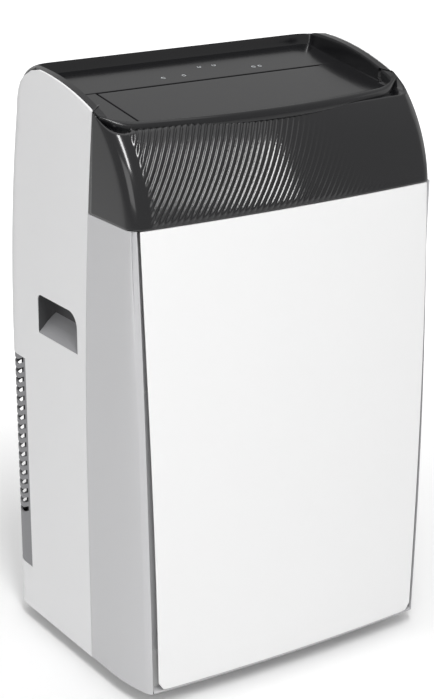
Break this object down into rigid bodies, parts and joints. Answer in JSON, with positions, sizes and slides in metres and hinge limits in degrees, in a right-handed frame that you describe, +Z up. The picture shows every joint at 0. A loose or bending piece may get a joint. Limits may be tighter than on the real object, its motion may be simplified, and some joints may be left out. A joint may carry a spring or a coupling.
{
  "type": "portable air conditioner",
  "caption": "Free-standing portable air conditioner on casters, with a crowned front, a ribbed dark cover, a top outlet flap and a rear exhaust hose port.",
  "frame": {"origin": "on the floor under the middle of the body's outline", "axes": "+Z up, -Y towards the front panel, +X to the right of someone facing the front"},
  "size_m": [0.44, 0.356, 0.768],
  "materials": {
    "white_shell": "satin moulded white",
    "frame_grey": "satin light grey",
    "panel_white": "semi-gloss white",
    "gloss_black": "gloss black",
    "grip_grey": "satin grey",
    "dark_plastic": "matt dark",
    "wheel_rubber": "matt",
    "inner_white": "foam and moulded",
    "coated_steel": "black enamel",
    "screw_steel": "zinc",
    "coil_fins": "bare fins",
    "copper": "drawn tube",
    "board_green": "solder mask"
  },
  "bodies": {
    "cabinet": {"rear_casing": "white_shell", "front_frame": "frame_grey", "front_panel": "panel_white", "ribbed_cover": "gloss_black", "top_tray": "gloss_black", "control_panel": "gloss_black", "grip_cups": "grip_grey", "lower_grille": "grip_grey", "hose_port": "white_shell", "drain_spout": "white_shell", "cord_gland": "dark_plastic", "base_pan": "inner_white", "casing_screws": "screw_steel", "bulkhead": "inner_white", "compressor": "coated_steel", "accumulator": "coated_steel", "compressor_mounts": "wheel_rubber", "terminal_cover": "dark_plastic", "evaporator_coil": "coil_fins", "condenser_coil": "coil_fins", "evaporator_scroll": "inner_white", "evaporator_motor": "screw_steel", "condenser_scroll": "inner_white", "condenser_motor": "screw_steel", "exhaust_duct": "inner_white", "outlet_duct": "inner_white", "condensate_tray": "inner_white", "capillary_tube": "copper", "suction_pipe": "copper", "discharge_pipe": "copper", "liquid_pipe": "copper", "splash_motor": "screw_steel", "float_stem": "inner_white", "control_box": "dark_plastic", "main_board": "board_green", "run_capacitor": "screw_steel", "terminal_block": "board_green", "display_board": "board_green", "louver_motors": "screw_steel"},
    "flap": {"outlet_flap": "gloss_black"},
    "filter_door": {"intake_grille": "white_shell", "filter_screen": "dark_plastic"},
    "drain_plug": {"drain_plug": "dark_plastic"},
    "evaporator_fan": {"evaporator_impeller": "dark_plastic"},
    "condenser_fan": {"condenser_impeller": "dark_plastic"},
    "splash_wheel": {"splash_wheel": "inner_white"},
    "float": {"float_ring": "inner_white"},
    "vane_link": {"vane_link": "screw_steel"},
    "vane_1": {"vane_1": "inner_white"},
    "fork_1": {"caster_fork_1": "dark_plastic"},
    "wheel_1": {"caster_wheel_1": "wheel_rubber"},
    "vane_2": {"vane_2": "inner_white"},
    "fork_2": {"caster_fork_2": "dark_plastic"},
    "wheel_2": {"caster_wheel_2": "wheel_rubber"},
    "vane_3": {"vane_3": "inner_white"},
    "fork_3": {"caster_fork_3": "dark_plastic"},
    "wheel_3": {"caster_wheel_3": "wheel_rubber"},
    "vane_4": {"vane_4": "inner_white"},
    "fork_4": {"caster_fork_4": "dark_plastic"},
    "wheel_4": {"caster_wheel_4": "wheel_rubber"}
  },
  "joints": [
    {"name": "flap_hinge", "type": "hinge", "parent": "cabinet", "child": "flap", "pos_m": [0, 0.0094, 0.73421], "axis": [-1, 0, 0], "range_deg": [0, 75]},
    {"name": "vane_1_swing", "type": "hinge", "parent": "cabinet", "child": "vane_1", "pos_m": [-0.114, -0.044, 0.693], "axis": [0, 1, 0], "range_deg": [-30, 30]},
    {"name": "vane_2_swing", "type": "hinge", "parent": "cabinet", "child": "vane_2", "pos_m": [-0.038, -0.044, 0.693], "axis": [0, 1, 0], "range_deg": [-30, 30]},
    {"name": "vane_3_swing", "type": "hinge", "parent": "cabinet", "child": "vane_3", "pos_m": [0.038, -0.044, 0.693], "axis": [0, 1, 0], "range_deg": [-30, 30]},
    {"name": "vane_4_swing", "type": "hinge", "parent": "cabinet", "child": "vane_4", "pos_m": [0.114, -0.044, 0.693], "axis": [0, 1, 0], "range_deg": [-30, 30]},
    {"name": "link_pivot", "type": "hinge", "parent": "vane_1", "child": "vane_link", "pos_m": [-0.114, -0.068, 0.68], "axis": [0, 1, 0], "range_deg": [-30, 30]},
    {"name": "evaporator_fan_spin", "type": "hinge", "parent": "cabinet", "child": "evaporator_fan", "pos_m": [0, 0, 0.545], "axis": [0, 1, 0], "continuous": true},
    {"name": "condenser_fan_spin", "type": "hinge", "parent": "cabinet", "child": "condenser_fan", "pos_m": [-0.075, 0, 0.186], "axis": [0, 1, 0], "continuous": true},
    {"name": "splash_wheel_spin", "type": "hinge", "parent": "cabinet", "child": "splash_wheel", "pos_m": [-0.02, 0.092, 0.082], "axis": [0, 1, 0], "continuous": true},
    {"name": "caster_1_swivel", "type": "hinge", "parent": "cabinet", "child": "fork_1", "pos_m": [-0.165, -0.104, 0.045], "axis": [0, 0, 1], "continuous": true},
    {"name": "caster_1_roll", "type": "hinge", "parent": "fork_1", "child": "wheel_1", "pos_m": [-0.165, -0.092, 0.019], "axis": [1, 0, 0], "continuous": true},
    {"name": "caster_2_swivel", "type": "hinge", "parent": "cabinet", "child": "fork_2", "pos_m": [0.165, -0.104, 0.045], "axis": [0, 0, 1], "continuous": true},
    {"name": "caster_2_roll", "type": "hinge", "parent": "fork_2", "child": "wheel_2", "pos_m": [0.165, -0.092, 0.019], "axis": [1, 0, 0], "continuous": true},
    {"name": "caster_3_swivel", "type": "hinge", "parent": "cabinet", "child": "fork_3", "pos_m": [-0.165, 0.126, 0.045], "axis": [0, 0, 1], "continuous": true},
    {"name": "caster_3_roll", "type": "hinge", "parent": "fork_3", "child": "wheel_3", "pos_m": [-0.165, 0.138, 0.019], "axis": [1, 0, 0], "continuous": true},
    {"name": "caster_4_swivel", "type": "hinge", "parent": "cabinet", "child": "fork_4", "pos_m": [0.165, 0.126, 0.045], "axis": [0, 0, 1], "continuous": true},
    {"name": "caster_4_roll", "type": "hinge", "parent": "fork_4", "child": "wheel_4", "pos_m": [0.165, 0.138, 0.019], "axis": [1, 0, 0], "continuous": true},
    {"name": "filter_door_pull", "type": "slide", "parent": "cabinet", "child": "filter_door", "axis": [0, 1, 0], "range_m": [0, 0.08]},
    {"name": "drain_plug_pull", "type": "slide", "parent": "cabinet", "child": "drain_plug", "axis": [0, 1, 0], "range_m": [0, 0.02]},
    {"name": "float_rise", "type": "slide", "parent": "cabinet", "child": "float", "axis": [0, 0, 1], "range_m": [0, 0.028]}
  ],
  "couplings": [
    {"joint": "vane_2_swing", "follows": "vane_1_swing", "ratio": 1},
    {"joint": "vane_3_swing", "follows": "vane_1_swing", "ratio": 1},
    {"joint": "vane_4_swing", "follows": "vane_1_swing", "ratio": 1},
    {"joint": "link_pivot", "follows": "vane_1_swing", "ratio": -1}
  ]
}
